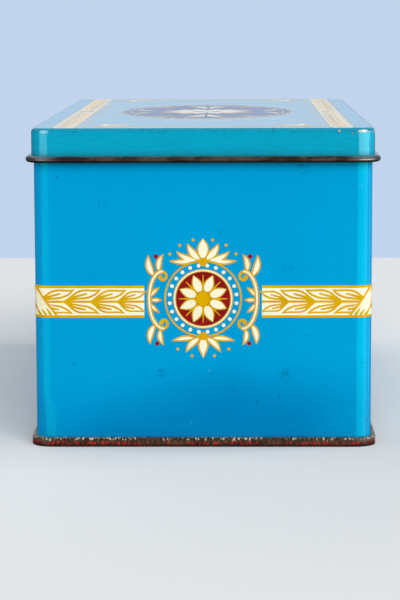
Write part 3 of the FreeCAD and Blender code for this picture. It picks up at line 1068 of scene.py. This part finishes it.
def press_tree():
    """Sets, repeats and bends the print of the wall."""
    tree = Tree("press", {
        "Sprig": "object", "Rail": "object", "Finish": "material", "Height": float, "Around": float,
        "First": float, "Front count": int, "Side count": int, "Spacing": float, "Last size": float})
    inputs = tree.inputs
    front = sprigs(tree, inputs["First"], -inputs["Spacing"], inputs["Front count"], inputs["Last size"])
    side = sprigs(tree, -inputs["First"], -inputs["Spacing"], inputs["Side count"], inputs["Last size"])
    quarter = together(tree, inputs["Geometry"], front, mirrored(tree, side))
    half = together(tree, quarter, mirrored(tree, quarter))
    away = tree.node("ShaderNodeCombineXYZ", {}, {"X": inputs["Around"] * 0.5})
    rear = tree.node("GeometryNodeTransform", {}, {"Geometry": half, "Translation": away})
    sheet = together(tree, half, rear)
    flat = tree.node("GeometryNodeInputPosition")
    x, y, z = (tree.node("ShaderNodeSeparateXYZ", {}, {0: flat}, output=axis) for axis in "XYZ")
    way = tree.node("ShaderNodeMath", {"operation": "FLOORED_MODULO"}, {0: x, 1: inputs["Around"]})
    spot = {0: tree.shape_of("Rail"), "Length": way}
    there, ahead = (
        tree.node("GeometryNodeSampleCurve", {"mode": "LENGTH"}, spot, output=name)
        for name in ("Position", "Tangent"))
    ahead_x, ahead_y = (tree.node("ShaderNodeSeparateXYZ", {}, {0: ahead}, output=axis) for axis in "XY")
    outwards = tree.node("ShaderNodeCombineXYZ", {}, {
        "X": ahead_y * z, "Y": -ahead_x * z, "Z": y + inputs["Height"]})
    bent = tree.node("GeometryNodeSetPosition", {}, {"Geometry": sheet, "Position": there + outwards})
    tree.finish(bent)
    return tree


# %% [markdown]
# ### The inks
#
# Printers' gold is ochre ink, a little brighter where it is thick, and its gloss is as yellow as the ink.
# The cream has yellowed in clouds under the varnish. Both are slightly worn, so that fine specks of the
# blue below show through.


# %% Finishes of the inks
def ink_finish(name, light, dark, below, spread=6, worn=0.78, coat=0.0, gloss=(1.0, 1.0, 1.0)):
    """An ink, worn through here and there to what lies below it."""
    finish = Finish(name)
    cloud = finish.step(finish.noise(spread * MM, 4.0, 0.6), 0.3, 0.72)
    grain = finish.noise(0.35 * MM, 2.0, 0.6)
    tone = finish.mix(cloud * 0.55 + grain * 0.25, light, dark)
    wear = finish.noise(0.5 * MM, 2.0, 0.55) + finish.noise(12 * MM, 1.0) * 0.12
    bare = finish.step(wear, worn, worn + 0.03)
    return finish.done(finish.shader(
        finish.mix(bare * 0.5, tone, below), 0.21 + cloud * 0.04 + bare * 0.02, bump=dents(finish),
        bump_depth=1 * MM, Specular_IOR_Level=0.35, Specular_Tint=(*gloss, 1.0), Coat_Weight=coat,
        Coat_Roughness=0.1))


GOLD, GOLD_DARK = colour(216, 167, 2), colour(194, 143, 2)
GOLD_GLOSS = (1.0, 0.8, 0.05)
CREAM, CREAM_DARK = colour(244, 237, 208), colour(233, 221, 180)
RED, RED_DARK = colour(150, 8, 14), colour(112, 4, 10)
gold_ink = ink_finish("gold_ink", GOLD, GOLD_DARK, BLUE, gloss=GOLD_GLOSS)
cream_ink = ink_finish("cream_ink", CREAM, CREAM_DARK, BLUE, spread=14)
red_ink = ink_finish("red_ink", RED, RED_DARK, GOLD)
print("inks:", gold_ink.name, cream_ink.name, red_ink.name)

# %% [markdown]
# ### On to the press
#
# A real sheet goes through the press once for each ink, and so does this one. A job is an ink's plate, its
# sprig where it has one, and its finish. The sprig is only a stamp, so it is taken away after the job.


# %% Print the wall
def prints(jobs, press, settings, body):
    """Sends each job's plate and sprig through a press, and yields the print, which rides on a body."""
    for name, plate, leaves, ink in jobs:
        blank = bpy.data.meshes.new("blank")
        stamp = bpy.data.objects.new(name + "_sprig", leaves.mesh() if leaves else blank)
        printed = grow(plate.mesh() if plate else blank, name, press, {
            "Sprig": stamp, "Finish": ink, **settings}, body)
        join_halves(printed.data)
        bpy.data.objects.remove(stamp)
        yield printed


wall_jobs = (
    ("wall_ground", ground, None, cream_ink), ("wall_gold", gold, sprig_gold, gold_ink),
    ("wall_cream", cream, sprig_cream, cream_ink), ("wall_ribbon", ribbon, None, cream_ink),
    ("wall_veins", None, sprig_top, gold_ink), ("wall_lines", top, None, gold_ink),
    ("wall_red", red, None, red_ink))
wall_settings = {
    "Rail": wall_rail, "Height": MIDDLE, "Around": AROUND, "First": TIE * MM, "Front count": 4,
    "Side count": 12, "Spacing": SPACING * MM, "Last size": 0.78}
for printed in prints(wall_jobs, press_tree(), wall_settings, "tin"):
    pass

# %% [markdown]
# ## The lid's picture
#
# The lid's top has a pale field in a frame, with a laurel band down each long side and a dark oval in the
# middle that holds a rosette. It is drawn on plates again, but flat ones: x runs across the lid and y
# along it, and a plain teal margin is left at the edge, where the sheet starts to bend. Again only a
# quarter is drawn.


# %% Draw a quarter of the lid
def oblong(plate, x0, y0, x1, y1):
    """A plain oblong."""
    plate.ladder([(x0, y0), (x0, y1)], [(x1, y0), (x1, y1)])


def oval(plate, half_x, half_y, inside=0.0, count=20):
    """A quarter of an oval, or of its rim where inside is a share of its size."""
    angles = [math.radians(90 * i / count) for i in range(count + 1)]
    outer = [(half_x * math.cos(a), half_y * math.sin(a)) for a in angles]
    plate.ladder([(x * inside, y * inside) for x, y in outer], outer)


LID_Y = (SKIRT_Y - EDGE) / MM                       # half length of the flat top
RUN = 44.4                                          # middle of the side bands
SIDE = 4.0                                          # half width of the side bands
RIM = 0.6                                           # width of the gold stripes round the picture
field, lid_ground = Plate("field", 0.02), Plate("lid_ground", 0.024)
lid_blue, lid_gold, lid_cream = Plate("lid_blue", 0.034), Plate("lid_gold", 0.045), Plate("lid_cream", 0.06)
lid_red = Plate("lid_red", 0.05)
leaf_gold, leaf_cream, leaf_vein = Plate("gold_leaf", 0.045), Plate("cream_leaf", 0.06), Plate("vein", 0.075)
sprig(leaf_gold, leaf_cream, border=0.45)
veins(leaf_vein, width=0.5)
oblong(field, 0, 0, RUN - 3.6, LID_Y - 3.2)
oblong(lid_ground, RUN - SIDE, 0, RUN + SIDE, LID_Y - RIM)
for x in (RUN - SIDE, RUN + SIDE - RIM):
    oblong(lid_gold, x, 0, x + RIM, LID_Y - RIM)
oblong(lid_gold, 0, LID_Y - 4.0 - RIM, RUN - SIDE, LID_Y - 4.0)
oblong(lid_ground, 0, LID_Y - 3.2, RUN - SIDE, LID_Y - 2.2)
oblong(lid_gold, RUN - 6.2, 0, RUN - 5.8, LID_Y - 5.8)
oblong(lid_gold, 0, LID_Y - 6.2, RUN - 5.8, LID_Y - 5.8)
oval(lid_blue, 31, 52)
oval(lid_gold, 31.6, 52.6, 0.975)
oval(lid_gold, 28.4, 48.2, 0.975)
for k in range(10):
    angle = math.radians(4.5 + 9 * k)
    spot = (29.9 * math.cos(angle), 50.2 * math.sin(angle))
    ring(lid_cream, spot, 0, 0.55, count=8)
for k in range(3):
    angle = 15 + 30 * k
    petal(lid_gold, lid_cream, around((0, 0), 4.2, angle), around((0, 0), 16.5, angle), 5.6, border=0.5)
for k in range(2):
    angle = 30 + 30 * k
    petal(lid_gold, lid_red, around((0, 0), 9.5, angle), around((0, 0), 20.5, angle), 3.0, border=0.5)
rosette(lid_red, lid_gold, lid_cream, (RUN, 0), 2.6, 0, 0.3)
ring(lid_gold, (0, 0), 0, 4.4, 0, 90, 8)
ring(lid_cream, (0, 0), 0, 2.0, 0, 90, 6)
for reach_y, wide in ((44.0, 3.4), (38.0, 2.6)):
    petal(lid_gold, lid_cream, (1.2, 24), (4.5 + wide, reach_y), wide, bend=0.12)
stem = bezier((0.6, 22), (2, 34), (12, 40), (15.5, 33), 16)
line(lid_gold, stem, 0.9, tail=0.6)
scroll(lid_gold, (13.4, 32.2), 2.2, 20, -260, 0.7)
petal(lid_gold, lid_cream, (12.5, 37), (20.5, 31.5), 2.4, bend=0.14)
petal(lid_gold, lid_cream, (19.5, 4.0), (25.5, 17.5), 2.8, bend=-0.12)
for start, tip, bend in (((33.5, 98), (22.0, 98.5), 0.10), ((33.5, 98), (33.0, 84), -0.10),
                         ((32.8, 97.4), (24.0, 88.5), 0.0)):
    petal(lid_gold, lid_cream, start, tip, 3.6, bend=bend)
ring(lid_gold, (34.2, 98.6), 0, 1.5, count=12)
plates = (field, lid_ground, lid_blue, lid_gold, lid_cream, lid_red)
print("lid print:", sum(len(plate.ladders) for plate in plates), "shapes")

# %% [markdown]
# ### The flat press
#
# The lid's press is simpler than the wall's, because the top is flat. It lays a row of smaller sprigs down
# the long side, mirrors the quarter twice and lifts the whole print to the top of the lid. Most of the
# lid's inks are worn through to teal and have a clear coat, because the top is seen at a glancing angle,
# where varnish mirrors the most.


# %% Print the lid
def spread_tree():
    """Sets and repeats the print of the lid, which stays flat."""
    tree = Tree("flat_press", {
        "Sprig": "object", "Finish": "material", "Height": float, "Run": float, "First": float,
        "Spacing": float, "Count": int, "Size": float})
    inputs = tree.inputs
    row = sprigs(tree, inputs["First"] / inputs["Size"], -inputs["Spacing"], inputs["Count"], 0.85)
    aside = tree.node("ShaderNodeCombineXYZ", {}, {"X": inputs["Run"]})
    size = tree.node("ShaderNodeCombineXYZ", {}, {"X": inputs["Size"], "Y": inputs["Size"], "Z": 1.0})
    small = tree.node("GeometryNodeTransform", {}, {"Geometry": row, "Scale": size})
    upright = tree.node("GeometryNodeTransform", {}, {
        "Geometry": small, "Rotation": (0, 0, math.pi / 2), "Translation": aside})
    quarter = together(tree, inputs["Geometry"], upright)
    half = together(tree, quarter, mirrored(tree, quarter))
    whole = together(tree, half, mirrored(tree, half, axis=1))
    up = tree.node("ShaderNodeCombineXYZ", {}, {"Z": inputs["Height"]})
    tree.finish(tree.node("GeometryNodeTransform", {}, {"Geometry": whole, "Translation": up}))
    return tree


top_gold = ink_finish("lid_gold_ink", GOLD, GOLD_DARK, TEAL, coat=0.5)
top_cream = ink_finish("lid_cream_ink", CREAM, CREAM_DARK, TEAL, spread=14, coat=0.5)
top_field = ink_finish(
    "lid_field_ink", colour(142, 184, 198), colour(122, 168, 188), TEAL, spread=20, coat=0.5)
top_blue = ink_finish(
    "lid_blue_ink", colour(54, 74, 126), colour(44, 60, 106), TEAL, spread=12, coat=0.35)
top_red = ink_finish("lid_red_ink", RED, RED_DARK, GOLD)
lid_jobs = (
    ("lid_field", field, None, top_field), ("lid_ground", lid_ground, None, top_cream),
    ("lid_oval", lid_blue, None, top_blue), ("lid_gold", lid_gold, leaf_gold, top_gold),
    ("lid_cream", lid_cream, leaf_cream, top_cream), ("lid_veins", None, leaf_vein, top_gold),
    ("lid_red", lid_red, None, top_red))
lid_settings = {
    "Height": LID_TOP, "Run": RUN * MM, "First": (LID_Y - 2) * MM, "Spacing": SPACING * MM, "Count": 16,
    "Size": 0.72}
for printed in prints(lid_jobs, spread_tree(), lid_settings, "lid"):
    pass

# %% [markdown]
# ## Light and backdrop
#
# A glossy box is mostly a picture of the room. Here the gloss sees a room that is pale blue behind the
# tin, dimmer overhead and at the right, and dark behind the camera, so that the front stays a deep blue
# while the lid's top, which is seen at a glancing angle, mirrors the backdrop. The key lamp is large and
# stands in front and above, so that its light reaches the whole front evenly and leaves a soft shadow
# under the bead. One lamp behind and one on each side fill in the rest. The gloss doesn't see these lamps.
# Two more stand low in front and are seen by the gloss alone: they draw the bright stripes down the
# rounded corners. The table isn't mirrored, so that the front stays clean.


# %% World, lamps and floor
BACKDROP = colour(193, 212, 236)
DARK = 0.05                                         # the least that the gloss sees anywhere
EVEN = 0.43                                         # strength of the even light on what isn't gloss
AIM = Vector((0, 0, 0.05))                          # the middle of the tin, which the lamps face


def room():
    """The world: the backdrop for the camera, a darker room for the gloss and an even light for the rest."""
    world = bpy.data.worlds.new("room")
    scene.world = world
    world.use_nodes = True
    world.node_tree.nodes.clear()
    nodes = Nodes(world.node_tree)
    rays = ["Is Camera Ray", "Is Glossy Ray", "Is Transmission Ray"]
    seen, glossy, through = (nodes.node("ShaderNodeLightPath", output=name) for name in rays)
    way = nodes.node("ShaderNodeTexCoord", output="Generated")
    rightwards, ahead, upwards = (
        nodes.node("ShaderNodeSeparateXYZ", sockets={0: way}, output=axis) for axis in "XYZ")
    wall, window, level, sky = (
        nodes.node("ShaderNodeMapRange", {"interpolation_type": "SMOOTHSTEP"}, {
            "Value": value, "From Min": low, "From Max": high, "To Max": most})
        for value, low, high, most in (
            (ahead, 0.7, 0.93, 0.90), (rightwards, 0.5, 0.85, 0.2), (upwards, -0.03, 0.05, 1.0),
            (upwards, 0.1, 0.8, 0.5)))
    shown = seen.most(through)
    reflected = (wall * level).most(window).most(sky) + DARK
    strength = shown + glossy * reflected + (1 - shown.most(glossy)) * EVEN
    light = nodes.node("ShaderNodeBackground", {}, {"Color": (*BACKDROP, 1), "Strength": strength})
    nodes.node("ShaderNodeOutputWorld", {}, {"Surface": light})


def lamp(name, place, width, height, power, glossy=False):
    """A rectangular lamp that faces the tin: a light, or only a shape for the gloss to mirror."""
    data = bpy.data.lights.new(name, "AREA")
    data.shape, data.size, data.size_y = "RECTANGLE", width, height
    data.energy = power
    lit = bpy.data.objects.new(name, data)
    lit.location = place
    lit.rotation_euler = (AIM - Vector(place)).to_track_quat("-Z", "Y").to_euler()
    lit.visible_glossy, lit.visible_diffuse = glossy, not glossy
    scene.collection.objects.link(lit)


room()
# Each lamp's place, width and height in metres, and its power in watts.
lamp("key", (1.50, -4.50, 3.90), 6.0, 3.6, 385)
lamp("rear", (-1.60, 3.60, 1.90), 4.0, 2.4, 71)
lamp("left_fill", (-3.60, 0.40, 1.60), 2.4, 1.6, 60)
lamp("right_fill", (3.60, 0.20, 1.60), 2.4, 1.6, 102)
lamp("right_window", (0.62, -0.62, -0.09), 1.2, 0.42, 3.2, glossy=True)
lamp("left_card", (-0.50, -0.72, -0.09), 0.72, 0.42, 1.15, glossy=True)


def floor():
    """A pale table top that ends a little way behind the tin."""
    mesh = bpy.data.meshes.new("table")
    side, front, back = 1.3, -1.1, 0.42
    mesh.from_pydata(
        [(-side, front, 0), (side, front, 0), (side, back, 0), (-side, back, 0)], [], [(0, 1, 2, 3)])
    table = bpy.data.objects.new("table", mesh)
    table.visible_glossy = False
    scene.collection.objects.link(table)
    finish = Finish("table_top")
    grain = finish.noise(2 * MM, 3.0)
    mesh.materials.append(finish.done(finish.shader(
        finish.mix(grain, colour(199, 199, 197), colour(203, 203, 201)), 0.6 + grain * 0.1,
        Specular_IOR_Level=0.0)))
    table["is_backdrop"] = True


floor()

# %% [markdown]
# ## Hand over
#
# The rails and profiles were only tools, so they go. The script ends by writing down the box that the
# metal filled and the box that the dressed tin fills, so that anyone can see that the dressing has not
# changed the tin's size.

# %% Sizes and finish
for tool in [o for o in scene.objects if o.type == "CURVE"]:
    bpy.data.objects.remove(tool)
scene.view_settings.view_transform = "Standard"
sizes = {"cad": [list(corner) for corner in cad_bounds], "visual": [list(corner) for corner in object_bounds()]}
for name, (near, far) in sizes.items():
    print("%s box: %s mm" % (name, " x ".join("%.2f" % ((b - a) / MM) for a, b in zip(near, far))))
